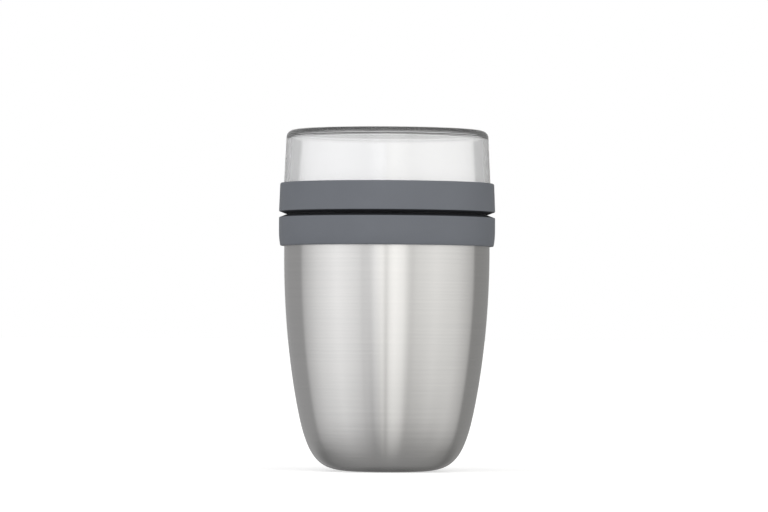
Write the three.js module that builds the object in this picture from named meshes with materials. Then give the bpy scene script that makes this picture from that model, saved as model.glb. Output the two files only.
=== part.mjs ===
// Insulated lunch pot: a double-walled steel pot with a grey collar, a screw lid made of a grey ring
// and a stopper, and a clear cup that screws upside down into the lid.
// Millimetres, +Z up. The origin is the centre of the foot, on the surface that the pot stands on.
import * as THREE from 'three';

// Steel pot
const BODY_R = 50.7; // widest radius of the outer wall
const BODY_SWEEP = 151; // half-height of the ellipse that the wall follows below its widest circle
const BASE_RISE = 28.5; // height at which the wall runs into the rounded base
const BASE_WALL_PULL = 0.91; // fullness of the base's curve beside the wall, a share of its rise
const BASE_FOOT_PULL = 0.54; // fullness of the base's curve beside the foot, a share of its reach
const BASE_LIFT = 0.65; // height of the end of that pull, so that the base slopes up from the foot
const FOOT_R = 16.5; // outer edge of the flat foot
const FOOT_WIDTH = 2.5; // width of the flat ring that the pot stands on
const RECESS_DEPTH = 2; // depth of the recess inside the foot
const RECESS_DRAFT = 0.8; // inward lean of the recess's wall
const WELD_FLANGE = 2.2; // width of the turned-in edge that the base plate is welded to
const STEEL_T = 0.8; // sheet thickness
const VACUUM_GAP = 5.2; // space between the outer wall and the liner
const NECK_GAP = 0.5; // the same space beside the collar, where the liner widens towards the rim

// Vacuum seal and getter
const PUMP_HOLE_R = 2;
const PLUG_BEAD_R = 3.5;
const PLUG_BEAD_H = 0.6;
const GETTER_IN_R = 4.5;
const GETTER_OUT_R = 8;

// Rings
const COLLAR_TOP_Z = 126.3; // top of the pot, where the lid parts from it
const PART_GAP = 0.4; // gap between the two rings
const RING_OVERHANG = 2.6; // how far both rings stand out from the steel wall
const RING_H = 15.3; // height of each ring, chamfer included
const NOTCH_DEPTH = 3.4; // depth of the V-shaped groove between the rings
const NOTCH_RISE = 1.3; // height of each of its chamfers
const LOWER_RING_TUCK = 0.65; // how far the lower ring draws in at its lower edge
const LOWER_RING_CURVE = 8; // height over which it draws in
const UPPER_RING_TAPER = 0.55; // how far the upper ring narrows towards its top
const UPPER_RING_CORNER = 0.8;
const CROWN_DROP = 3; // widest circle of the steel wall, below the lower ring's edge

// Collar inside the pot's mouth
const COLLAR_WEB = 4.5; // plastic above the steel rim
const COLLAR_SKIRT_T = 1.3;
const COLLAR_LIP = 2; // lip below the collar's thread
const COLLAR_LIP_T = 2.5;
const COLLAR_SEAL_T = 1.5;

// Lid
const LID_SEAL_T = 1.6;
const LID_LAND = 0.6; // edge of the upper ring that guards the lid's gasket
const LID_FLANGE_T = 1.6; // inner flange of the upper ring, which carries the stopper
const RING_WALL = 2.05; // wall of the upper ring beside the cup
const PLUG_DEPTH = 11.8; // how far the stopper reaches into the collar
const PLUG_WALL = 2;
const PLUG_ROOM = 3; // free height between the stopper's edge and the collar's lip
const PLUG_LEAD = 0.8; // chamfer at the stopper's edge
const THREAD_ROOM = 1.4; // room between stopper and collar, which their threads fill
const STOPPER_T = 1.8; // rim of the stopper on the flange
const FLOOR_T = 2; // floor of the cup
const FLOOR_STEP = 0.8; // height of the floor above the stopper's rim, which centres the gasket
const CUP_SEAL_T = 1.2;

// Clear cup
const CUP_RISE = 26.2; // height of the cup above the rings
const CUP_TAPER = 1.25; // how far the cup narrows from the ring to its top corner
const CUP_CORNER = 3.6; // rounding of the cup's top edge outside
const CUP_IN_CORNER = 1.8; // and inside
const CUP_WALL = 2.5;
const CUP_TOP_T = 3.4;
const CUP_NECK_STEP = 1.05; // how far the cup's neck is set back for its thread
const CUP_SINK = 0.8; // how far the cup's full width enters the ring

const CLEAR = 0.3; // clearance between pieces that are fitted into each other
const FACETS = 48;
const SMALL_FACETS = 24;
const WALL_STEPS = 7;
const BASE_STEPS = 8;
const CORNER_STEPS = 3;

// Levels, from the parting of the rings downwards
const lowerRingZ = COLLAR_TOP_Z - RING_H;
const crownZ = lowerRingZ - CROWN_DROP;
const rimTopZ = COLLAR_TOP_Z - COLLAR_WEB;
const rimZ = rimTopZ - STEEL_T;
const plugZ = COLLAR_TOP_Z - PLUG_DEPTH;
const collarLipTopZ = plugZ - PLUG_ROOM;
const collarLipZ = collarLipTopZ - COLLAR_LIP_T;
const ledgeTopZ = collarLipZ - COLLAR_SEAL_T;
const ledgeZ = ledgeTopZ - STEEL_T;
const flangeTopZ = RECESS_DEPTH + STEEL_T;
const plateTopZ = flangeTopZ + STEEL_T;

// Levels, from the parting of the rings upwards
const lidZ = COLLAR_TOP_Z + PART_GAP;
const upperRingTopZ = lidZ + RING_H;
const lidFlangeZ = COLLAR_TOP_Z + LID_SEAL_T;
const stopperZ = lidFlangeZ + LID_FLANGE_T;
const stopperRimZ = stopperZ + STOPPER_T;
const floorZ = stopperRimZ + FLOOR_STEP;
const cupRimZ = stopperRimZ + CUP_SEAL_T;
const cupShoulderZ = upperRingTopZ - CUP_SINK;
const cupTopZ = upperRingTopZ + CUP_RISE;

// Radii, from the steel wall outwards, inwards, and inside the upper ring
const RING_R = BODY_R + RING_OVERHANG;
const linerInset = STEEL_T + VACUUM_GAP;
const recessFootR = FOOT_R - FOOT_WIDTH;
const recessR = recessFootR - RECESS_DRAFT;
const weldR = recessR - WELD_FLANGE;
const neckOutR = BODY_R - STEEL_T - NECK_GAP;
const neckInR = neckOutR - STEEL_T;
const skirtR = neckInR - CLEAR;
const collarBoreR = skirtR - COLLAR_SKIRT_T;
const collarLipR = collarBoreR - COLLAR_LIP;
const plugR = collarBoreR - THREAD_ROOM;
const plugInR = plugR - PLUG_WALL;
const bossR = collarBoreR - CLEAR;
const lidHoleR = bossR + CLEAR;
const notchR = RING_R - NOTCH_DEPTH;
const lidRecessR = notchR - LID_LAND;
const ringBoreR = RING_R - RING_WALL;
const stopperR = ringBoreR - CLEAR;
const cupMouthR = ringBoreR - CLEAR;
const cupNeckR = cupMouthR - CUP_NECK_STEP;
const cupInR = cupMouthR - CUP_WALL;
const floorR = cupInR - 2 * CLEAR;
const cupTopR = cupMouthR - CUP_TAPER;

function finish(color, roughness, metalness) {
  return new THREE.MeshStandardMaterial({ color, roughness, metalness });
}

const brushedSteel = finish(0xc9c8c5, 0.34, 1);
const linerSteel = finish(0xcfcfcd, 0.28, 1);
const greyPlastic = finish(0x6b6f75, 0.55, 0);
const silicone = finish(0x353639, 0.6, 0);
const sealBead = finish(0x8f8f90, 0.4, 1);
const getterMetal = finish(0x55565a, 0.7, 1);
const clearPlastic = new THREE.MeshStandardMaterial({
  color: 0xf3f6f7,
  roughness: 0.05,
  metalness: 0,
  transparent: true,
  opacity: 0.25,
});

function point(r, z) {
  return new THREE.Vector2(r, z);
}

// A turned piece: its profile runs anticlockwise, with the radius to the right and the height upwards.
function turned(name, material, profile, facets = FACETS) {
  const geometry = new THREE.LatheGeometry(profile, facets);
  geometry.rotateX(Math.PI / 2);
  const mesh = new THREE.Mesh(geometry, material);
  mesh.name = name;
  return mesh;
}

function closed(points) {
  return [...points, points[0].clone()];
}

function flatRing(name, material, inR, outR, lowZ, highZ, facets = FACETS) {
  const section = [point(inR, lowZ), point(outR, lowZ), point(outR, highZ), point(inR, highZ)];
  return turned(name, material, closed(section), facets);
}

// A rounded corner from one point to another, drawn towards the sharp corner that it replaces.
function corner(from, at, to) {
  return new THREE.QuadraticBezierCurve(from, at, to).getPoints(CORNER_STEPS);
}

// The pot's outline from the foot up to a given height, set in from the outer face by the same
// distance all along. Outer wall and liner both take their faces from it.
function potOutline(inset, topZ) {
  const angleAt = (z) => Math.asin((z - crownZ) / BODY_SWEEP);
  const wall = new THREE.EllipseCurve(0, crownZ, BODY_R, BODY_SWEEP, angleAt(BASE_RISE), angleAt(topZ));
  const joint = wall.getPoint(0);
  const down = wall.getTangent(0).multiplyScalar(-BASE_WALL_PULL * BASE_RISE);
  const footPull = BASE_FOOT_PULL * (joint.x - FOOT_R);
  const base = new THREE.CubicBezierCurve(
    point(FOOT_R, 0),
    point(FOOT_R + footPull, BASE_LIFT),
    joint.clone().add(down),
    joint,
  );
  const setIn = (curve, t) => {
    const along = curve.getTangent(t);
    return curve.getPoint(t).add(point(-along.y, along.x).multiplyScalar(inset));
  };
  const outline = [];
  for (let i = 0; i < BASE_STEPS; i += 1) {
    outline.push(setIn(base, i / BASE_STEPS));
  }
  for (let i = 0; i <= WALL_STEPS; i += 1) {
    outline.push(setIn(wall, i / WALL_STEPS));
  }
  outline[0].setY(inset);
  outline.at(-1).setY(topZ);
  return outline;
}

// Outer wall: open at the top, with the foot turned in and up to a flange for the base plate.
function outerShell() {
  const profile = [
    ...potOutline(0, crownZ),
    point(BODY_R, rimZ),
    point(BODY_R - STEEL_T, rimZ),
    ...potOutline(STEEL_T, crownZ).reverse(),
    point(recessFootR + STEEL_T, STEEL_T),
    point(recessR + STEEL_T, flangeTopZ),
    point(weldR, flangeTopZ),
    point(weldR, RECESS_DEPTH),
    point(recessR, RECESS_DEPTH),
    point(recessFootR, 0),
  ];
  return turned('outer_shell', brushedSteel, closed(profile));
}

// Liner: the food pot, with a ledge for the collar, a wider neck and a rim that lies on the outer wall.
function liner() {
  const profile = [
    point(0, linerInset),
    ...potOutline(linerInset, ledgeZ),
    point(neckOutR, ledgeZ),
    point(neckOutR, rimZ),
    point(BODY_R, rimZ),
    point(BODY_R, rimTopZ),
    point(neckInR, rimTopZ),
    point(neckInR, ledgeTopZ),
    ...potOutline(linerInset + STEEL_T, ledgeTopZ).reverse(),
    point(0, linerInset + STEEL_T),
  ];
  return turned('liner', linerSteel, profile);
}

function basePlate() {
  const plateR = recessR + STEEL_T - CLEAR;
  return flatRing('base_plate', brushedSteel, PUMP_HOLE_R, plateR, flangeTopZ, plateTopZ);
}

// Bead that closes the pumping hole from below, with a stem through the plate.
function vacuumPlug() {
  const stemR = PUMP_HOLE_R - CLEAR;
  const beadZ = flangeTopZ - PLUG_BEAD_H;
  const profile = [
    point(0, beadZ),
    ...corner(point(stemR, beadZ), point(PLUG_BEAD_R, beadZ), point(PLUG_BEAD_R, flangeTopZ)),
    point(stemR, flangeTopZ),
    point(stemR, plateTopZ),
    point(0, plateTopZ),
  ];
  return turned('vacuum_plug', sealBead, profile, SMALL_FACETS);
}

function getterRing() {
  const lowZ = plateTopZ + CLEAR;
  return flatRing('getter_ring', getterMetal, GETTER_IN_R, GETTER_OUT_R, lowZ, linerInset, SMALL_FACETS);
}

// Lower ring: a collar that straddles the steel rim, with the bore for the lid's thread inside.
function lowerRing() {
  const outerSkirtR = BODY_R + CLEAR;
  const edgeR = RING_R - LOWER_RING_TUCK;
  const curveTopZ = lowerRingZ + LOWER_RING_CURVE;
  const curveMidZ = lowerRingZ + LOWER_RING_CURVE / 2;
  const profile = [
    point(collarLipR, collarLipZ),
    point(skirtR, collarLipZ),
    point(skirtR, rimTopZ),
    point(outerSkirtR, rimTopZ),
    point(outerSkirtR, lowerRingZ),
    ...corner(point(edgeR, lowerRingZ), point(RING_R, curveMidZ), point(RING_R, curveTopZ)),
    point(RING_R, COLLAR_TOP_Z - NOTCH_RISE),
    point(notchR, COLLAR_TOP_Z),
    point(collarBoreR, COLLAR_TOP_Z),
    point(collarBoreR, collarLipTopZ),
    point(collarLipR, collarLipTopZ),
  ];
  return turned('lower_ring', greyPlastic, closed(profile));
}

// Upper ring: the lid's outside, with an inner flange for the stopper and a bore for the cup's thread.
function upperRing() {
  const topR = RING_R - UPPER_RING_TAPER;
  const profile = [
    point(lidHoleR, lidFlangeZ),
    point(lidRecessR, lidFlangeZ),
    point(lidRecessR, lidZ),
    point(notchR, lidZ),
    point(RING_R, lidZ + NOTCH_RISE),
    ...corner(
      point(topR, upperRingTopZ - UPPER_RING_CORNER),
      point(topR, upperRingTopZ),
      point(topR - UPPER_RING_CORNER, upperRingTopZ),
    ),
    point(ringBoreR, upperRingTopZ),
    point(ringBoreR, stopperZ),
    point(lidHoleR, stopperZ),
  ];
  return turned('upper_ring', greyPlastic, closed(profile));
}

// Stopper: the floor of the cup, with a plug below it that screws into the collar.
function stopper() {
  const profile = [
    point(0, floorZ - FLOOR_T),
    point(plugInR, floorZ - FLOOR_T),
    point(plugInR, plugZ),
    point(plugR - PLUG_LEAD, plugZ),
    point(plugR, plugZ + PLUG_LEAD),
    point(plugR, lidZ),
    point(bossR, lidZ),
    point(bossR, stopperZ),
    point(stopperR, stopperZ),
    point(stopperR, stopperRimZ),
    point(floorR, stopperRimZ),
    point(floorR, floorZ),
    point(0, floorZ),
  ];
  return turned('stopper', greyPlastic, profile);
}

// Cup: upside down, with its rim in the upper ring and its flat bottom on top.
function cup() {
  const topInR = cupTopR - CUP_WALL;
  const topInZ = cupTopZ - CUP_TOP_T;
  const profile = [
    point(0, topInZ),
    ...corner(
      point(topInR - CUP_IN_CORNER, topInZ),
      point(topInR, topInZ),
      point(topInR, topInZ - CUP_IN_CORNER),
    ),
    point(cupInR, cupShoulderZ),
    point(cupInR, cupRimZ),
    point(cupNeckR, cupRimZ),
    point(cupNeckR, cupShoulderZ),
    point(cupMouthR, cupShoulderZ),
    ...corner(
      point(cupTopR, cupTopZ - CUP_CORNER),
      point(cupTopR, cupTopZ),
      point(cupTopR - CUP_CORNER, cupTopZ),
    ),
    point(0, cupTopZ),
  ];
  return turned('cup', clearPlastic, profile);
}

const pot = new THREE.Group();
pot.add(outerShell(), liner(), basePlate(), vacuumPlug(), getterRing(), lowerRing());
pot.add(flatRing('collar_gasket', silicone, collarLipR, skirtR, ledgeTopZ, collarLipZ));

const lid = new THREE.Group();
lid.add(upperRing(), stopper());
lid.add(flatRing('lid_gasket', silicone, lidHoleR, lidRecessR - CLEAR, COLLAR_TOP_Z, lidFlangeZ));

const cupWithSeal = new THREE.Group();
cupWithSeal.add(cup());
cupWithSeal.add(
  flatRing('cup_gasket', silicone, floorR + CLEAR, ringBoreR - 2 * CLEAR, stopperRimZ, cupRimZ),
);

const lunchPot = new THREE.Group();
lunchPot.add(pot, lid, cupWithSeal);

export default lunchPot;
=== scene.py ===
import math

import bmesh
import bpy
from mathutils import Matrix, Vector
from mathutils.geometry import interpolate_bezier


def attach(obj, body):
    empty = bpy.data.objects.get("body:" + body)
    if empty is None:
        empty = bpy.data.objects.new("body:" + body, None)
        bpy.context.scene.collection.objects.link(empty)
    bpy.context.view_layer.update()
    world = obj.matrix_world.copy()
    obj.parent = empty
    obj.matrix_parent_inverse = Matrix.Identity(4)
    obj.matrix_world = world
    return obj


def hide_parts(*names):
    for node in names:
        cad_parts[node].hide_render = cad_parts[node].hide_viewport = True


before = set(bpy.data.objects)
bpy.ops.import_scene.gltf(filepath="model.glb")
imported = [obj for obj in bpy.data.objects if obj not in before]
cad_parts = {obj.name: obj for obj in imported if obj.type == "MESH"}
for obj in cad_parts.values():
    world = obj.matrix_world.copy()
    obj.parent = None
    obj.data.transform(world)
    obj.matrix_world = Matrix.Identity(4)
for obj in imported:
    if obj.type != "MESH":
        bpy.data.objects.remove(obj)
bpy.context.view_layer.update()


# Outer wall: stainless sheet, drawn and spun into a slim bowl, brushed all round on the lathe.
# At the bottom it turns in and up again, so the pot stands on a narrow ring, and ends in a flange
# that the base disc is welded to. The top edge stays straight and goes up inside the collar.
MM = 0.001
SHEET = 0.8
COLLAR_TOP_Z = 126.3
COLLAR_WEB = 4.5
RIM_TOP_Z = COLLAR_TOP_Z - COLLAR_WEB
RIM_Z = RIM_TOP_Z - SHEET
RING_H = 15.3
RING_Z = COLLAR_TOP_Z - RING_H
CROWN_DROP = 3.0
CROWN_Z = RING_Z - CROWN_DROP
WALL_R = 50.7
WALL_SWEEP = 151.0
WALL_POINTS = 45
TOP_GAP = 0.2
TOP_REACH = 2.5
FOOT_R = 16.5
FOOT_WIDTH = 2.5
FOOT_PULL = 0.54
FOOT_LIFT = 0.65
BASE_RISE = 28.5
BASE_PULL = 0.91
BASE_POINTS = 29
RECESS_Z = 2.0
RECESS_DRAFT = 0.8
RECESS_FOOT_R = FOOT_R - FOOT_WIDTH
RECESS_R = RECESS_FOOT_R - RECESS_DRAFT
WELD_FLANGE = 2.2
WELD_R = RECESS_R - WELD_FLANGE
RIM_EDGE = 0.15
CUT_EDGE = 0.1
FOLD = 0.5
EDGE_SEGMENTS = 3
CORNER_SEGMENTS = 12
MERGE = 0.002
STEEL_DARK = (0.588, 0.583, 0.576, 1.0)
STEEL_LIGHT = (0.628, 0.62, 0.61, 1.0)
BRUSH_DEPTH = 0.02
WORN = 0.008
ROUND_THE_POT = 0.25


def pot_outline(inset, top_z):
    """The pot's side from the foot up to top_z, set in from the outer face: (radius, height) in mm."""
    bottom = math.asin((BASE_RISE - CROWN_Z) / WALL_SWEEP)
    joint = Vector((WALL_R * math.cos(bottom), BASE_RISE))
    rise = Vector((-WALL_R * math.sin(bottom), WALL_SWEEP * math.cos(bottom)))
    crown = Vector((WALL_R, CROWN_Z))
    reach = 4 / 3 * math.tan(-bottom / 4)
    foot = Vector((FOOT_R, 0))
    foot_pull = Vector((FOOT_R + FOOT_PULL * (joint.x - FOOT_R), FOOT_LIFT))
    base_pull = joint - BASE_PULL * BASE_RISE * rise.normalized()
    base = interpolate_bezier(foot, foot_pull, base_pull, joint, BASE_POINTS)
    side = interpolate_bezier(
        joint, joint + reach * rise, crown - Vector((0, reach * WALL_SWEEP)), crown, WALL_POINTS)
    points = base[:-1] + side
    outline = []
    for i, at in enumerate(points):
        ahead = points[i + 1] if i + 1 < len(points) else at + Vector((0, 1))
        behind = points[i - 1] if i else at - Vector((1, 0))
        along = (ahead - behind).normalized()
        outline.append(at + inset * Vector((-along.y, along.x)))
    below = [(at.x, at.y) for at in outline if at.y < top_z - TOP_GAP]
    return below + [(min(at.x for at in outline if at.y >= top_z - TOP_REACH), top_z)]


def held(section, hold=0.2):
    """A section with a point on each side of every rounded corner, so that the flats beside it stay flat."""
    points = []
    for i, corner in enumerate(section):
        if len(corner) < 3:
            points.append(corner)
            continue
        at = Vector(corner[:2])
        near = []
        for other in (section[i - 1], section[(i + 1) % len(section)]):
            away = Vector(other[:2]) - at
            step = corner[2] + hold
            room = away.length - (other[2] + hold if len(other) > 2 else 0)
            near.append(tuple(at + away.normalized() * step) if room > step + hold else None)
        points += [p for p in (near[0], corner, near[1]) if p]
    return points


def turned(section, steps=192):
    """Spins a section of (radius, height) or (radius, height, corner round) about the pot's axis."""
    mesh = bmesh.new()
    rounded = {}
    chain = []
    for corner in held(section):
        chain.append(mesh.verts.new((corner[0] * MM, 0, corner[1] * MM)))
        if len(corner) > 2:
            rounded.setdefault(corner[2], []).append(chain[-1])
    for a, b in zip(chain, chain[1:]):
        mesh.edges.new((a, b))
    if section[0][0] > 0:
        mesh.edges.new((chain[-1], chain[0]))
    for size, corners in rounded.items():
        bmesh.ops.bevel(mesh, geom=corners, offset=size * MM, offset_type='OFFSET',
                        segments=EDGE_SEGMENTS if size < 1 else CORNER_SEGMENTS, profile=0.5,
                        affect='VERTICES', material=-1)
    bmesh.ops.spin(mesh, geom=mesh.verts[:] + mesh.edges[:], cent=(0, 0, 0), axis=(0, 0, 1),
                   angle=math.tau, steps=steps, use_merge=True)
    bmesh.ops.remove_doubles(mesh, verts=mesh.verts[:], dist=MERGE * MM)
    bmesh.ops.recalc_face_normals(mesh, faces=mesh.faces[:])
    return mesh


def made_piece(name, mesh, material):
    """An object of a finished bmesh, shaded smooth."""
    data = bpy.data.meshes.new(name)
    mesh.to_mesh(data)
    mesh.free()
    data.shade_smooth()
    data.materials.append(material)
    piece = bpy.data.objects.new(name, data)
    bpy.context.scene.collection.objects.link(piece)
    return piece


def node(tree, kind, *links, **settings):
    """A shader node with its settings; each link is (socket or value, input name or number)."""
    made = tree.nodes.new(kind)
    for key, value in settings.items():
        setattr(made, key, value)
    for source, target in links:
        if hasattr(source, 'is_output'):
            tree.links.new(source, made.inputs[target])
        else:
            made.inputs[target].default_value = source
    return made


def figured(tree, operation, *values):
    """The result of a sum on one value or two."""
    inputs = [(value, i) for i, value in enumerate(values)]
    return node(tree, 'ShaderNodeMath', *inputs, operation=operation).outputs[0]


def ranged(tree, source, low, high, start=0.3, end=0.7):
    """A value that goes from low to high while its source, by default noise, goes from start to end."""
    return node(tree, 'ShaderNodeMapRange', (source, 'Value'), (start, 'From Min'), (end, 'From Max'),
                (low, 'To Min'), (high, 'To Max')).outputs['Result']


def blended(tree, factor, first, second, **settings):
    """A mix of two values, or of two colours where the settings say so."""
    return node(tree, 'ShaderNodeMix', (factor, 'Factor'), (first, 'A'), (second, 'B'),
                **settings).outputs['Result']


def place_on_piece(tree):
    """A point of the piece: its place, the way out to it from the axis, and its height."""
    place = node(tree, 'ShaderNodeTexCoord').outputs['Object']
    axes = node(tree, 'ShaderNodeSeparateXYZ', (place, 0)).outputs
    out = node(tree, 'ShaderNodeCombineXYZ', (axes['X'], 0), (axes['Y'], 1)).outputs[0]
    return place, out, axes['Z']


def new_group(name, inputs, outputs):
    """An empty shader node group, with its two end nodes."""
    group = bpy.data.node_groups.new(name, 'ShaderNodeTree')
    for socket in inputs:
        group.interface.new_socket(socket, in_out='INPUT', socket_type='NodeSocketFloat')
    for socket in outputs:
        group.interface.new_socket(socket, in_out='OUTPUT', socket_type='NodeSocketFloat')
    return group, group.nodes.new('NodeGroupInput'), group.nodes.new('NodeGroupOutput')


def brush_group():
    """Brush lines that run round the axis, on a wall as well as on a disc, and softer worn patches."""
    group, given, result = new_group('brush_lines', ['Lines per metre', 'Reach'], ['Lines', 'Patches'])
    place, out, height = place_on_piece(group)
    radius = node(group, 'ShaderNodeVectorMath', (out, 0), operation='LENGTH').outputs['Value']
    around = node(group, 'ShaderNodeVectorMath', (out, 0), operation='NORMALIZE').outputs[0]
    spread = node(group, 'ShaderNodeVectorMath', (around, 0), (given.outputs['Reach'], 'Scale'),
                  operation='SCALE').outputs[0]
    path = figured(group, 'ADD', height, radius)
    line = figured(group, 'MULTIPLY', path, given.outputs['Lines per metre'])
    up = node(group, 'ShaderNodeCombineXYZ', (line, 2)).outputs[0]
    where = node(group, 'ShaderNodeVectorMath', (spread, 0), (up, 1), operation='ADD').outputs[0]
    lines = node(group, 'ShaderNodeTexNoise', (where, 'Vector'), (1.0, 'Scale'), (4.0, 'Detail'),
                 (0.7, 'Roughness'))
    patches = node(group, 'ShaderNodeTexNoise', (place, 'Vector'), (38.0, 'Scale'), (2.0, 'Detail'),
                   (0.5, 'Roughness'))
    group.links.new(lines.outputs['Fac'], result.inputs['Lines'])
    group.links.new(patches.outputs['Fac'], result.inputs['Patches'])
    return group


def new_material(name):
    """An empty material: the material, its tree and its shader."""
    material = bpy.data.materials.new(name)
    material.use_nodes = True
    return material, material.node_tree, material.node_tree.nodes['Principled BSDF']


def steel(name, dark, light, rough, lines_per_metre, reach, relief, stretch):
    """Brushed or rough metal: the lines change its tone, roughness and relief."""
    material, tree, shader = new_material(name)
    brush = node(tree, 'ShaderNodeGroup', node_tree=brush_lines)
    brush.inputs['Lines per metre'].default_value = lines_per_metre
    brush.inputs['Reach'].default_value = reach
    lines = brush.outputs['Lines']
    tone = blended(tree, ranged(tree, lines, 0.0, 1.0), dark, light, data_type='RGBA')
    streaks = ranged(tree, lines, *rough)
    worn = ranged(tree, brush.outputs['Patches'], -WORN, WORN)
    bump = node(tree, 'ShaderNodeBump', (relief, 'Strength'), (BRUSH_DEPTH * MM, 'Distance'),
                (lines, 'Height'))
    tree.links.new(tone, shader.inputs['Base Color'])
    tree.links.new(figured(tree, 'ADD', streaks, worn), shader.inputs['Roughness'])
    tree.links.new(bump.outputs[0], shader.inputs['Normal'])
    shader.inputs['Metallic'].default_value = 1.0
    shader.inputs['Anisotropic'].default_value = stretch
    shader.inputs['Anisotropic Rotation'].default_value = ROUND_THE_POT
    return material


brush_lines = brush_group()
wall_steel = steel('wall_steel', STEEL_DARK, STEEL_LIGHT, rough=(0.22, 0.24), lines_per_metre=1300.0,
                   reach=0.45, relief=0.04, stretch=1.0)
wall_section = [
    *pot_outline(0, CROWN_Z),
    (WALL_R, RIM_Z, RIM_EDGE),
    (WALL_R - SHEET, RIM_Z, RIM_EDGE),
    *reversed(pot_outline(SHEET, CROWN_Z)),
    (RECESS_FOOT_R + SHEET, SHEET),
    (RECESS_R + SHEET, RECESS_Z + SHEET),
    (WELD_R, RECESS_Z + SHEET, CUT_EDGE),
    (WELD_R, RECESS_Z, CUT_EDGE),
    (RECESS_R, RECESS_Z, FOLD),
    (RECESS_FOOT_R, 0, FOLD),
]
wall = made_piece('steel_wall', turned(wall_section), wall_steel)
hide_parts('outer_shell')
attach(wall, 'pot')


# Base disc: a blanked steel disc, welded on top of the flange inside the foot. In its middle is the hole
# through which the air was pumped out of the double wall.
FIT = 0.3
DISC_R = RECESS_R + SHEET - FIT
DISC_Z = RECESS_Z + SHEET
DISC_TOP_Z = DISC_Z + SHEET
HOLE_R = 2.0

disc_section = [
    (HOLE_R, DISC_Z, CUT_EDGE),
    (DISC_R, DISC_Z, CUT_EDGE),
    (DISC_R, DISC_TOP_Z, CUT_EDGE),
    (HOLE_R, DISC_TOP_Z, CUT_EDGE),
]
disc = made_piece('base_disc', turned(disc_section, steps=96), wall_steel)
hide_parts('base_plate')
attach(disc, 'pot')


# Pump bead: metal that ran into the pumping hole in the oven and set there, so that the vacuum stays in.
# It is darker and rougher than the sheet around it, and not brushed.
STEM_R = HOLE_R - FIT
BEAD_R = 3.5
BEAD_H = 0.6
BEAD_SLOPE = 0.25
BEAD_ROUND = 0.3
BEAD_DARK = (0.21, 0.21, 0.215, 1.0)
BEAD_LIGHT = (0.34, 0.34, 0.345, 1.0)

bead_steel = steel('set_bead', BEAD_DARK, BEAD_LIGHT, rough=(0.36, 0.5), lines_per_metre=700.0,
                   reach=1.2, relief=0.5, stretch=0.0)
bead_section = [
    (0, DISC_Z - BEAD_H),
    (STEM_R, DISC_Z - BEAD_H, BEAD_ROUND),
    (BEAD_R - BEAD_SLOPE, DISC_Z - BEAD_H / 2, BEAD_ROUND),
    (BEAD_R, DISC_Z),
    (STEM_R, DISC_Z),
    (STEM_R, DISC_TOP_Z, CUT_EDGE),
    (0, DISC_TOP_Z),
]
bead = made_piece('pump_bead', turned(bead_section, steps=64), bead_steel)
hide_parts('vacuum_plug')
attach(bead, 'pot')


# Getter: a sintered metal ring that keeps the vacuum, shut in between the base disc and the liner.
# Nobody sees it once the pot is welded, so the pressed ring of the CAD model stays as it is.
GETTER_DARK = (0.06, 0.061, 0.066, 1.0)
GETTER_LIGHT = (0.12, 0.122, 0.13, 1.0)

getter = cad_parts['getter_ring']
getter_metal = steel('getter_metal', GETTER_DARK, GETTER_LIGHT, rough=(0.6, 0.8), lines_per_metre=900.0,
                     reach=40.0, relief=0.4, stretch=0.0)
getter.data.materials.clear()
getter.data.materials.append(getter_metal)


# Liner: the food pot, drawn from stainless sheet inside the outer wall and finished satin. It has a ledge
# for the collar's gasket, a wider neck, and a rim folded out over the outer wall and welded there.
VACUUM_GAP = 5.2
LINER_INSET = SHEET + VACUUM_GAP
NECK_GAP = 0.5
NECK_R = WALL_R - SHEET - NECK_GAP
NECK_IN_R = NECK_R - SHEET
PLUG_DEPTH = 11.8
PLUG_Z = COLLAR_TOP_Z - PLUG_DEPTH
PLUG_ROOM = 3.0
LIP_TOP_Z = PLUG_Z - PLUG_ROOM
LIP_T = 2.5
LIP_Z = LIP_TOP_Z - LIP_T
COLLAR_SEAL_T = 1.5
COLLAR_SEAL_Z = LIP_Z - COLLAR_SEAL_T
LEDGE_Z = COLLAR_SEAL_Z - SHEET
LINER_FOLD = 0.3
NECK_FOLD = 0.2
LINER_DARK = (0.6, 0.6, 0.595, 1.0)
LINER_LIGHT = (0.7, 0.7, 0.69, 1.0)

liner_steel = steel('liner_steel', LINER_DARK, LINER_LIGHT, rough=(0.27, 0.34), lines_per_metre=1500.0,
                    reach=1.5, relief=0.1, stretch=0.8)
liner_section = [
    (0, LINER_INSET),
    *pot_outline(LINER_INSET, LEDGE_Z),
    (NECK_R, LEDGE_Z, LINER_FOLD),
    (NECK_R, RIM_Z, NECK_FOLD),
    (WALL_R, RIM_Z, RIM_EDGE),
    (WALL_R, RIM_TOP_Z, LINER_FOLD),
    (NECK_IN_R, RIM_TOP_Z, FOLD),
    (NECK_IN_R, COLLAR_SEAL_Z, LINER_FOLD),
    *reversed(pot_outline(LINER_INSET + SHEET, COLLAR_SEAL_Z)),
    (0, LINER_INSET + SHEET),
]
liner = made_piece('liner_pot', turned(liner_section), liner_steel)
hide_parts('liner')
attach(liner, 'pot')


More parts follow.
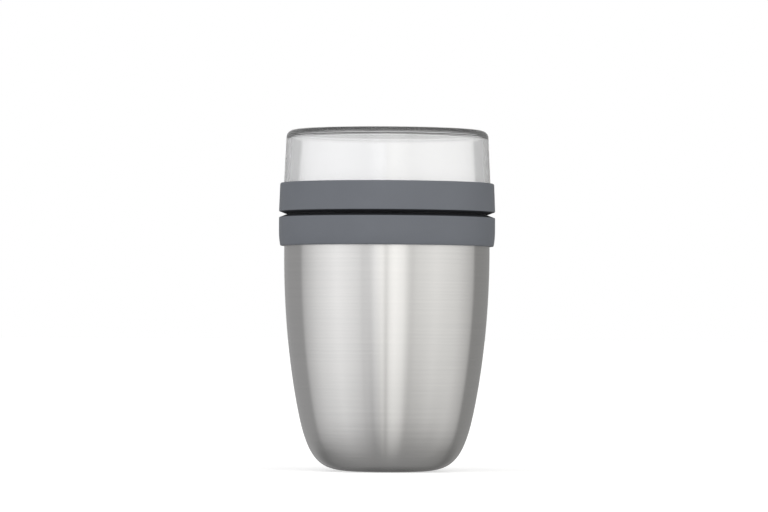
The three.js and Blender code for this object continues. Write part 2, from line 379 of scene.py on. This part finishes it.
# Collar: grey polypropylene, moulded in one piece that snaps over the steel rim from above. Its outer
# skirt is the lower grey ring; its bevel at the top has painted shade, almost black, as the groove's shadow.
# The inner skirt carries a three-start thread for the lid, and a lip under it presses on the gasket.
RING_OVERHANG = 2.6
RING_R = WALL_R + RING_OVERHANG
RING_UNDERSIDE = [(1.0, 0.0), (0.78, 0.08)]
RING_PULLS = [(0.65, 0.35), (0.2, 2.5), (0.0, 5.0), (0.0, 8.0)]
RING_POINTS = 12
SKIRT_R = WALL_R + FIT
NOTCH_DEPTH = 3.4
NOTCH_R = RING_R - NOTCH_DEPTH
NOTCH_RISE = 1.3
PART_GAP = 0.4
GROOVE_Z = COLLAR_TOP_Z + PART_GAP / 2
COLLAR_IN_R = NECK_IN_R - FIT
COLLAR_SKIRT_T = 1.3
BORE_R = COLLAR_IN_R - COLLAR_SKIRT_T
LIP_W = 2.0
LIP_R = BORE_R - LIP_W
SKIRT_EDGE = 0.25
INNER_EDGE = 0.2
OUTER_EDGE = 0.3
MOUTH_EDGE = 0.35
COLLAR_ROWS = (COLLAR_TOP_Z - 1.3, LIP_TOP_Z + 1.0)
COLLAR_THREAD = (LIP_TOP_Z + 1.5, COLLAR_TOP_Z - 1.5)
LID_LEAD = 12.0
LID_RIDGE = 1.0
CREST_GAIN = 1.6
CREST_CUT = 0.3
ON_CYLINDER = 0.01
GREY_DARK = (0.122, 0.132, 0.152, 1.0)
GREY_LIGHT = (0.144, 0.156, 0.178, 1.0)
GRAIN_SHARE = 0.4
GRAIN_DEPTH = 0.05
# Painted shade in the groove between the rings: its tone, and the reaches of the mask that darkens the
# bevels
GROOVE_SHADE_TONE = (0.2, 0.2, 0.2, 1.0)
GROOVE_SHADE_ENDS = (0.6, 0.4)
GROOVE_SHADE_BRIM = (0.1, 0.4)
GROOVE_SHADE_BOTTOM = (0.4, 0.2)


def rows(radius, start, end, step=0.3):
    """Points up or down a cylinder, close enough together to take a thread."""
    count = round(abs(end - start) / step)
    return [(radius, start + (end - start) * i / count) for i in range(count + 1)]


def raise_thread(mesh, radius, low, high, ridge, lead, turn, starts=3, fade=1.2):
    """Moves a cylinder's rows out (or in) along a right-hand thread that fades at both ends."""
    for vert in mesh.verts:
        z = vert.co.z / MM
        if abs(vert.co.xy.length / MM - radius) > ON_CYLINDER or not low < z < high:
            continue
        along = (z / lead - math.atan2(vert.co.y, vert.co.x) / math.tau) * starts + turn
        crest = min(1.0, max(0.0, CREST_GAIN * math.cos(math.tau * along) - CREST_CUT))
        crest = crest * crest * (3 - 2 * crest)
        crest *= min(1.0, (z - low) / fade, (high - z) / fade)
        vert.co.xy = vert.co.xy * ((radius + ridge * crest) / radius)


def grain_group():
    """Moulded grain: a fine grain from the mould's skin and slow clouds from the flow of the plastic."""
    group, given, result = new_group('moulded_grain', ['Grains per metre'], ['Grain', 'Clouds'])
    place = node(group, 'ShaderNodeTexCoord').outputs['Object']
    grains_per_metre = given.outputs['Grains per metre']
    grain = node(group, 'ShaderNodeTexNoise', (place, 'Vector'), (grains_per_metre, 'Scale'),
                 (2.0, 'Detail'), (0.6, 'Roughness'))
    clouds = node(group, 'ShaderNodeTexNoise', (place, 'Vector'), (30.0, 'Scale'), (3.0, 'Detail'),
                  (0.55, 'Roughness'))
    group.links.new(grain.outputs['Fac'], result.inputs['Grain'])
    group.links.new(clouds.outputs['Fac'], result.inputs['Clouds'])
    return group


def moulding(name, dark, light, rough, grains_per_metre, relief):
    """A moulded plastic or rubber: clouds and grain change its tone, the grain its roughness and relief."""
    material, tree, shader = new_material(name)
    skin = node(tree, 'ShaderNodeGroup', node_tree=moulded_grain)
    skin.inputs['Grains per metre'].default_value = grains_per_metre
    grain = skin.outputs['Grain']
    both = blended(tree, GRAIN_SHARE, skin.outputs['Clouds'], grain)
    tone = blended(tree, ranged(tree, both, 0.0, 1.0), dark, light, data_type='RGBA')
    bump = node(tree, 'ShaderNodeBump', (relief, 'Strength'), (GRAIN_DEPTH * MM, 'Distance'),
                (grain, 'Height'))
    tree.links.new(tone, shader.inputs['Base Color'])
    tree.links.new(ranged(tree, grain, *rough), shader.inputs['Roughness'])
    tree.links.new(bump.outputs[0], shader.inputs['Normal'])
    return material, shader


def paint_groove_shade(tree, shader):
    """Painted shade: takes the tone of the two bevels that meet between the rings down to almost black, as
    the groove's shadow.
    """
    _, out, height = place_on_piece(tree)
    radius = node(tree, 'ShaderNodeVectorMath', (out, 0), operation='LENGTH').outputs['Value']
    apart = figured(tree, 'ABSOLUTE', figured(tree, 'SUBTRACT', height, GROOVE_Z * MM))
    near = ranged(tree, apart, 0.0, 1.0, *[(NOTCH_RISE + past) * MM for past in GROOVE_SHADE_ENDS])
    sunk = ranged(tree, radius, 0.0, 1.0, *[(RING_R - deep) * MM for deep in GROOVE_SHADE_BRIM])
    outside = ranged(tree, radius, 0.0, 1.0, *[(NOTCH_R - deep) * MM for deep in GROOVE_SHADE_BOTTOM])
    groove = figured(tree, 'MULTIPLY', figured(tree, 'MULTIPLY', sunk, outside), near)
    tone = shader.inputs['Base Color'].links[0].from_socket
    darker = blended(tree, groove, tone, GROOVE_SHADE_TONE, data_type='RGBA', blend_type='MULTIPLY')
    tree.links.new(darker, shader.inputs['Base Color'])


moulded_grain = grain_group()
grey_plastic, grey_shader = moulding('grey_plastic', GREY_DARK, GREY_LIGHT, rough=(0.44, 0.56),
                                     grains_per_metre=2200.0, relief=0.25)
# Painted shade: the bevels in the groove between the two grey rings are darkened almost to black
paint_groove_shade(grey_plastic.node_tree, grey_shader)
ring_side = interpolate_bezier(
    *[Vector((RING_R - inward, RING_Z + up)) for inward, up in RING_PULLS], RING_POINTS)
collar_section = [
    (LIP_R, LIP_Z, SKIRT_EDGE),
    (COLLAR_IN_R, LIP_Z, SKIRT_EDGE),
    (COLLAR_IN_R, RIM_TOP_Z, INNER_EDGE),
    (SKIRT_R, RIM_TOP_Z, INNER_EDGE),
    (SKIRT_R, RING_Z, SKIRT_EDGE),
    *[(RING_R - inward, RING_Z + up) for inward, up in RING_UNDERSIDE],
    *[(at.x, at.y) for at in ring_side],
    (RING_R, COLLAR_TOP_Z - NOTCH_RISE, OUTER_EDGE),
    (NOTCH_R, COLLAR_TOP_Z, INNER_EDGE),
    (BORE_R, COLLAR_TOP_Z, MOUTH_EDGE),
    *rows(BORE_R, *COLLAR_ROWS),
    (BORE_R, LIP_TOP_Z, OUTER_EDGE),
    (LIP_R, LIP_TOP_Z, OUTER_EDGE),
]
collar_mesh = turned(collar_section)
raise_thread(collar_mesh, BORE_R, *COLLAR_THREAD, ridge=-LID_RIDGE, lead=LID_LEAD, turn=0.0)
collar = made_piece('collar', collar_mesh, grey_plastic)
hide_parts('lower_ring')
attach(collar, 'pot')


# Collar gasket: a silicone ring with eased edges, laid on the liner's ledge and pressed by the collar's
# lip, so that nothing runs in between steel and plastic.
SILICONE_DARK = (0.03, 0.031, 0.034, 1.0)
SILICONE_LIGHT = (0.042, 0.043, 0.047, 1.0)
SEAL_EDGE = 0.35
SEAL_STEPS = 144


def flat_ring(inner, outer, low, high, eased):
    """The section of a flat ring with eased edges."""
    return [(inner, low, eased), (outer, low, eased), (outer, high, eased), (inner, high, eased)]


silicone, _ = moulding('silicone', SILICONE_DARK, SILICONE_LIGHT, rough=(0.48, 0.6),
                       grains_per_metre=1600.0, relief=0.2)
collar_seal_section = flat_ring(LIP_R, COLLAR_IN_R, COLLAR_SEAL_Z, LIP_Z, SEAL_EDGE)
collar_seal = made_piece('collar_seal', turned(collar_seal_section, SEAL_STEPS), silicone)
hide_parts('collar_gasket')
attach(collar_seal, 'pot')


# Lid ring: the upper grey ring, moulded in the same grey polypropylene, whose bottom bevel has painted
# shade, almost black, as the groove's shadow. It is open above, where its thread takes the cup, and an inner
# flange at the bottom carries the stopper.
LID_Z = COLLAR_TOP_Z + PART_GAP
LID_TOP_Z = LID_Z + RING_H
LID_SEAL_T = 1.6
LID_FLANGE_Z = COLLAR_TOP_Z + LID_SEAL_T
LID_FLANGE_T = 1.6
STOPPER_Z = LID_FLANGE_Z + LID_FLANGE_T
LID_HOLE_R = BORE_R
LID_LAND = 0.6
LID_RECESS_R = NOTCH_R - LID_LAND
LID_TAPER = 0.55
LID_TOP_R = RING_R - LID_TAPER
LID_TOP_ROUND = 0.8
RING_WALL = 2.05
LID_BORE_R = RING_R - RING_WALL
LID_ROWS = (LID_TOP_Z - 0.8, STOPPER_Z + 3.3)
LID_THREAD = (STOPPER_Z + 3.5, LID_TOP_Z - 1.2)
CUP_LEAD = 9.0
CUP_RIDGE = 0.8

lid_section = [
    (LID_HOLE_R, LID_FLANGE_Z, INNER_EDGE),
    (LID_RECESS_R, LID_FLANGE_Z, INNER_EDGE),
    (LID_RECESS_R, LID_Z, INNER_EDGE),
    (NOTCH_R, LID_Z, INNER_EDGE),
    (RING_R, LID_Z + NOTCH_RISE, OUTER_EDGE),
    (LID_TOP_R, LID_TOP_Z, LID_TOP_ROUND),
    (LID_BORE_R, LID_TOP_Z, MOUTH_EDGE),
    *rows(LID_BORE_R, *LID_ROWS),
    (LID_BORE_R, STOPPER_Z, INNER_EDGE),
    (LID_HOLE_R, STOPPER_Z, INNER_EDGE),
]
lid_mesh = turned(lid_section)
raise_thread(lid_mesh, LID_BORE_R, *LID_THREAD, ridge=-CUP_RIDGE, lead=CUP_LEAD, turn=0.0)
lid_ring = made_piece('lid_ring', lid_mesh, grey_plastic)
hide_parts('upper_ring')
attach(lid_ring, 'lid')


# Stopper: a grey polypropylene moulding, welded into the lid ring from above. Its hollow plug screws
# into the collar, and its raised floor closes the cup from below.
THREAD_ROOM = 1.4
PLUG_R = BORE_R - THREAD_ROOM
PLUG_WALL = 2.0
PLUG_IN_R = PLUG_R - PLUG_WALL
PLUG_CORNER = 1.0
PLUG_RIM = 0.5
PLUG_BEVEL = 0.8
PLUG_ROWS = (PLUG_Z + 1.4, LID_Z - 0.9)
PLUG_THREAD = (PLUG_Z + 1.5, LID_Z - 1.1)
BOSS_R = BORE_R - FIT
STOPPER_R = LID_BORE_R - FIT
STOPPER_T = 1.8
STOPPER_RIM_Z = STOPPER_Z + STOPPER_T
CUP_R = LID_BORE_R - FIT
CUP_WALL = 2.5
CUP_IN_R = CUP_R - CUP_WALL
FLOOR_R = CUP_IN_R - 2 * FIT
FLOOR_STEP = 0.8
FLOOR_Z = STOPPER_RIM_Z + FLOOR_STEP
FLOOR_T = 2.0
FLOOR_SEAT = 0.15
FLOOR_ROUND = 0.4

stopper_section = [
    (0, FLOOR_Z - FLOOR_T),
    (PLUG_IN_R, FLOOR_Z - FLOOR_T, PLUG_CORNER),
    (PLUG_IN_R, PLUG_Z, PLUG_RIM),
    (PLUG_R - PLUG_BEVEL, PLUG_Z, OUTER_EDGE),
    (PLUG_R, PLUG_Z + PLUG_BEVEL, OUTER_EDGE),
    *rows(PLUG_R, *PLUG_ROWS),
    (PLUG_R, LID_Z),
    (BOSS_R, LID_Z, INNER_EDGE),
    (BOSS_R, STOPPER_Z),
    (STOPPER_R, STOPPER_Z, INNER_EDGE),
    (STOPPER_R, STOPPER_RIM_Z, OUTER_EDGE),
    (FLOOR_R, STOPPER_RIM_Z, FLOOR_SEAT),
    (FLOOR_R, FLOOR_Z, FLOOR_ROUND),
    (0, FLOOR_Z),
]
stopper_mesh = turned(stopper_section)
raise_thread(stopper_mesh, PLUG_R, *PLUG_THREAD, ridge=LID_RIDGE, lead=LID_LEAD, turn=0.5)
stopper = made_piece('stopper_plug', stopper_mesh, grey_plastic)
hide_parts('stopper')
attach(stopper, 'lid')


# Lid gasket: a flat silicone ring in the recess under the lid, squeezed on top of the collar when the
# lid is screwed down. It goes up with the lid.
LID_SEAL_R = LID_RECESS_R - FIT

lid_seal_section = flat_ring(LID_HOLE_R, LID_SEAL_R, COLLAR_TOP_Z, LID_FLANGE_Z, SEAL_EDGE)
lid_seal = made_piece('lid_seal_ring', turned(lid_seal_section, SEAL_STEPS), silicone)
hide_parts('lid_gasket')
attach(lid_seal, 'lid_seal')


# Cup gasket: the same kind of ring, pushed on round the stopper's floor, where the cup's rim presses on
# it. It stays on the stopper when the cup is unscrewed.
CUP_SEAL_IN_R = FLOOR_R + FIT
CUP_SEAL_R = STOPPER_R - FIT
CUP_SEAL_T = 1.2
CUP_SEAL_EDGE = 0.3
CUP_RIM_Z = STOPPER_RIM_Z + CUP_SEAL_T

cup_seal_section = flat_ring(CUP_SEAL_IN_R, CUP_SEAL_R, STOPPER_RIM_Z, CUP_RIM_Z, CUP_SEAL_EDGE)
cup_seal = made_piece('cup_seal_ring', turned(cup_seal_section, SEAL_STEPS), silicone)
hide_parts('cup_gasket')
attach(cup_seal, 'cup_seal')


# Cup: clear copolyester, injection moulded with a thick flat bottom and polished inside and out.
# It stands upside down, screwed into the lid ring by the three-start thread on its set-back neck.
CUP_NECK_STEP = 1.05
CUP_NECK_R = CUP_R - CUP_NECK_STEP
CUP_SINK = 0.8
CUP_SHOULDER_Z = LID_TOP_Z - CUP_SINK
CUP_SHOULDER_EDGE = 0.25
CUP_RIM_ROUND = 0.4
CUP_TAPER = 1.25
CUP_TOP_R = CUP_R - CUP_TAPER
CUP_RISE = 26.2
CUP_TOP_Z = LID_TOP_Z + CUP_RISE
CUP_TOP_T = 3.4
CUP_CORNER = 3.6
CUP_IN_CORNER = 1.2
NECK_ROWS = (CUP_RIM_Z + 0.6, CUP_SHOULDER_Z - 0.5)
NECK_THREAD = (CUP_RIM_Z + 0.7, CUP_SHOULDER_Z - 0.6)
CLEAR_TINT = (0.985, 0.985, 0.988, 1.0)
CLEAR_TINT_DEEP = (0.975, 0.976, 0.98, 1.0)
CLEARNESS = 0.94
CLEAR_IOR = 1.54

clear_plastic, clear_shader = moulding('clear_plastic', CLEAR_TINT_DEEP, CLEAR_TINT, rough=(0.005, 0.02),
                                       grains_per_metre=900.0, relief=0.0)
clear_shader.inputs['Transmission Weight'].default_value = CLEARNESS
clear_shader.inputs['IOR'].default_value = CLEAR_IOR
cup_section = [
    (0, CUP_TOP_Z - CUP_TOP_T),
    (CUP_TOP_R - CUP_WALL, CUP_TOP_Z - CUP_TOP_T, CUP_IN_CORNER),
    (CUP_IN_R, CUP_SHOULDER_Z),
    (CUP_IN_R, CUP_RIM_Z, CUP_RIM_ROUND),
    (CUP_NECK_R, CUP_RIM_Z, CUP_RIM_ROUND),
    *rows(CUP_NECK_R, *NECK_ROWS),
    (CUP_NECK_R, CUP_SHOULDER_Z),
    (CUP_R, CUP_SHOULDER_Z, CUP_SHOULDER_EDGE),
    (CUP_TOP_R, CUP_TOP_Z, CUP_CORNER),
    (0, CUP_TOP_Z),
]
cup_mesh = turned(cup_section)
raise_thread(cup_mesh, CUP_NECK_R, *NECK_THREAD, ridge=CUP_RIDGE, lead=CUP_LEAD, turn=0.5)
cup = made_piece('clear_cup', cup_mesh, clear_plastic)
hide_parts('cup')
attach(cup, 'cup')


# Camera: a long lens from the front, a little below half the pot's height and looking slightly up, as
# in the photograph, with the same small roll.
LENS = 225.0
SENSOR = 36.0
FAR_CLIP = 50.0
CAMERA_AT = (-0.0014, -2.367, 0.0677)
CAMERA_TILT = 90.931
CAMERA_ROLL = 0.33

camera_data = bpy.data.cameras.new('camera')
camera_data.lens = LENS
camera_data.sensor_width = SENSOR
camera_data.clip_end = FAR_CLIP
camera = bpy.data.objects.new('camera', camera_data)
camera.matrix_world = (
    Matrix.Translation(CAMERA_AT)
    @ Matrix.Rotation(math.radians(CAMERA_TILT), 4, 'X')
    @ Matrix.Rotation(math.radians(CAMERA_ROLL), 4, 'Z'))
bpy.context.scene.collection.objects.link(camera)
bpy.context.scene.camera = camera


# Floor: a wide pale sheet under the pot. It is a little short of white where the studio lights it, and
# what the camera sees is lifted to white, so that only the pot's soft shadow shows on it. Nothing
# mirrors it, and from below it can be seen through.
FLOOR_REACH = 400.0
FLOOR_WHITE = 0.8
FLOOR_LIFT = 0.5
FLOOR_ROUGH = 0.9

floor_mesh = bmesh.new()
bmesh.ops.create_grid(floor_mesh, x_segments=1, y_segments=1, size=FLOOR_REACH)
floor_paper, floor_tree, floor_shader = new_material('floor_paper')
ray = node(floor_tree, 'ShaderNodeLightPath').outputs
seen = figured(floor_tree, 'MAXIMUM', ray['Is Camera Ray'], ray['Is Transmission Ray'])
lift = figured(floor_tree, 'MULTIPLY', seen, FLOOR_LIFT)
from_below = node(floor_tree, 'ShaderNodeNewGeometry').outputs['Backfacing']
gone = figured(floor_tree, 'MAXIMUM', ray['Is Glossy Ray'], from_below)
clear_floor = node(floor_tree, 'ShaderNodeBsdfTransparent').outputs[0]
floor_mix = node(floor_tree, 'ShaderNodeMixShader', (gone, 0), (floor_shader.outputs[0], 1),
                 (clear_floor, 2))
floor_tree.links.new(floor_mix.outputs[0], floor_tree.nodes['Material Output'].inputs['Surface'])
floor_shader.inputs['Base Color'].default_value = (FLOOR_WHITE, FLOOR_WHITE, FLOOR_WHITE, 1.0)
floor_shader.inputs['Roughness'].default_value = FLOOR_ROUGH
floor_shader.inputs['Specular IOR Level'].default_value = 0.0
floor_shader.inputs['Emission Color'].default_value = (1.0, 1.0, 1.0, 1.0)
floor_tree.links.new(lift, floor_shader.inputs['Emission Strength'])
floor = made_piece('floor', floor_mesh, floor_paper)


# Studio: bright panels in front of the pot, darker flags behind its sides, and a white wall behind that
# gets darker above a height. PANELS go round by the angle from the camera, HEIGHTS from straight down to
# straight up. Each of the STANDS shades or lifts a stretch below a height, and the ground is even.
PANELS = [
    (-180, 1.0), (-173, 1.0), (-172.4, 0.385), (-113, 0.455), (-110, 0.72), (-86, 1.12), (-58, 1.44),
    (-40, 1.29), (-31, 1.18), (-27.5, 1.04), (-20, 1.15), (-13, 1.58), (-6, 1.7), (-0.7, 1.32),
    (4, 1.55), (9, 1.68), (19, 1.5), (25, 1.14), (29, 1.02), (34, 1.15), (58, 1.3), (88, 1.06),
    (115, 0.66), (117, 0.37), (172.4, 0.32), (173, 1.0), (180, 1.0),
]
HEIGHTS = [(-1.0, 0.3), (-0.8, 0.4), (-0.5, 0.41), (-0.29, 1.0), (0.7, 1.0), (0.95, 0.75)]
STANDS = [
    (-13.0, 4.8, 11.0, 0.62, 0.0, -0.3),
    (-0.8, 0.8, 3.5, 0.75, 0.05, -0.12),
    (54.0, 16.0, 36.0, 0.74, -0.15, -0.5),
    (-180.0, 7.6, 8.2, 0.2, 0.0, -0.05),
    (180.0, 7.6, 8.2, 0.2, 0.0, -0.05),
    (-142.0, 26.0, 31.0, 1.5, -0.4, -0.65),
    (142.0, 22.0, 28.0, 2.0, -0.4, -0.65),
]
WALL_SIDE = (0.1, 0.4)
WALL_TOP = (0.42, 0.55)
WALL_TOP_TONE = 0.45
GROUND = (0.34, 0.34, 0.34, 1.0)
GROUND_EDGE = (-0.6, -0.95)
CEILING = (0.5, 0.7)
CLEAR_LIFT = (0.35, 0.1)
COOL = (0.995, 0.995, 1.0)
WARM = (1.005, 1.0, 0.985)
COOL_SIDE = -10
WHITE = (1.0, 1.0, 1.0, 1.0)


def fill_ramp(ramp, stops):
    """Sets a colour ramp's stops, each a place from 0 to 1 and a colour."""
    while len(ramp.elements) < len(stops):
        ramp.elements.new(0.5)
    for stop, (place, colour) in zip(ramp.elements, stops):
        stop.position = place
        stop.color = (*colour, 1.0)


world = bpy.data.worlds.new('studio')
bpy.context.scene.world = world
world.use_nodes = True
sky = world.node_tree
aim = node(sky, 'ShaderNodeTexCoord').outputs['Generated']
sides = node(sky, 'ShaderNodeSeparateXYZ', (aim, 0)).outputs
to_camera = figured(sky, 'MULTIPLY', sides['Y'], -1.0)
angle = figured(sky, 'ARCTAN2', sides['X'], to_camera)
panels = node(sky, 'ShaderNodeValToRGB', (ranged(sky, angle, 0.0, 1.0, -math.pi, math.pi), 'Fac'))
fill_ramp(panels.color_ramp, [
    ((degrees + 180) / 360, [strength * c for c in (COOL if degrees < COOL_SIDE else WARM)])
    for degrees, strength in PANELS])
heights = node(sky, 'ShaderNodeValToRGB', (ranged(sky, sides['Z'], 0.0, 1.0, -1.0, 1.0), 'Fac'))
fill_ramp(heights.color_ramp, [((level + 1) / 2, (strength,) * 3) for level, strength in HEIGHTS])
behind = ranged(sky, sides['Y'], 0.0, 1.0, *WALL_SIDE)
wall_top = ranged(sky, sides['Z'], 1.0, WALL_TOP_TONE, *WALL_TOP)
levels = figured(sky, 'MULTIPLY', heights.outputs['Color'], blended(sky, behind, 1.0, wall_top))
for at, narrow, wide, tone, high, low in STANDS:
    beside = figured(sky, 'ABSOLUTE', figured(sky, 'SUBTRACT', angle, math.radians(at)))
    stand = ranged(sky, beside, tone, 1.0, math.radians(narrow), math.radians(wide))
    under = ranged(sky, sides['Z'], 0.0, 1.0, high, low)
    levels = figured(sky, 'MULTIPLY', levels, blended(sky, under, 1.0, stand))
studio = blended(sky, 1.0, panels.outputs['Color'], levels, data_type='RGBA', blend_type='MULTIPLY')
down = ranged(sky, sides['Z'], 0.0, 1.0, *GROUND_EDGE)
room = blended(sky, down, studio, GROUND, data_type='RGBA')
sky_ray = node(sky, 'ShaderNodeLightPath').outputs
ceiling = ranged(sky, sides['Z'], *CLEAR_LIFT, *CEILING)
through = figured(sky, 'MULTIPLY', sky_ray['Is Transmission Ray'], ceiling)
plain = figured(sky, 'MAXIMUM', sky_ray['Is Camera Ray'], through)
shown = blended(sky, plain, room, WHITE, data_type='RGBA')
sky.links.new(shown, sky.nodes['Background'].inputs['Color'])

bpy.context.scene.view_settings.view_transform = 'Standard'
